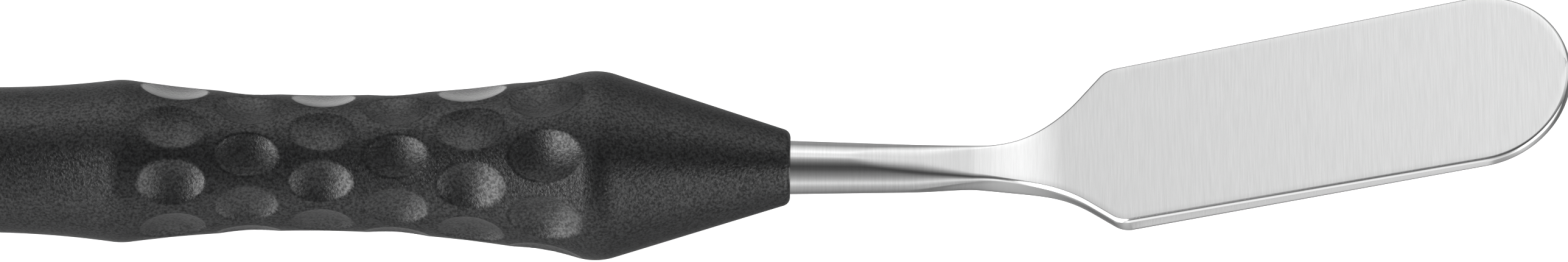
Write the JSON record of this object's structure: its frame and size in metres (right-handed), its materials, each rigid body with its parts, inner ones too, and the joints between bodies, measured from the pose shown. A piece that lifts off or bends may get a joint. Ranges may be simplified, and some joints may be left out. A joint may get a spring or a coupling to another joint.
{
  "type": "palette knife",
  "caption": "Small palette and mixing knife: a flat round-ended steel blade, set up and a little sideways on a tapering round shank, in a dark moulded handle with dimpled grips.",
  "frame": {"origin": "on the handle's axis, at the front end face of the nose that the shank comes out of", "axes": "+X along the handle's axis towards the blade's tip, +Z the side the blade is set up towards, +Y the side the blade leans towards"},
  "size_m": [0.1654, 0.0129, 0.0141],
  "materials": {
    "blade_steel": "fine brushed flats, polished shank and edges",
    "pin_steel": "ground",
    "core_metal": "as turned",
    "grip_moulding": "matte, finely grained charcoal black",
    "plug_steel": "polished"
  },
  "bodies": {
    "root": {"blade": "blade_steel", "tang_pin": "pin_steel", "handle_core": "core_metal", "grip": "grip_moulding", "end_plug": "plug_steel"}
  },
  "joints": []
}
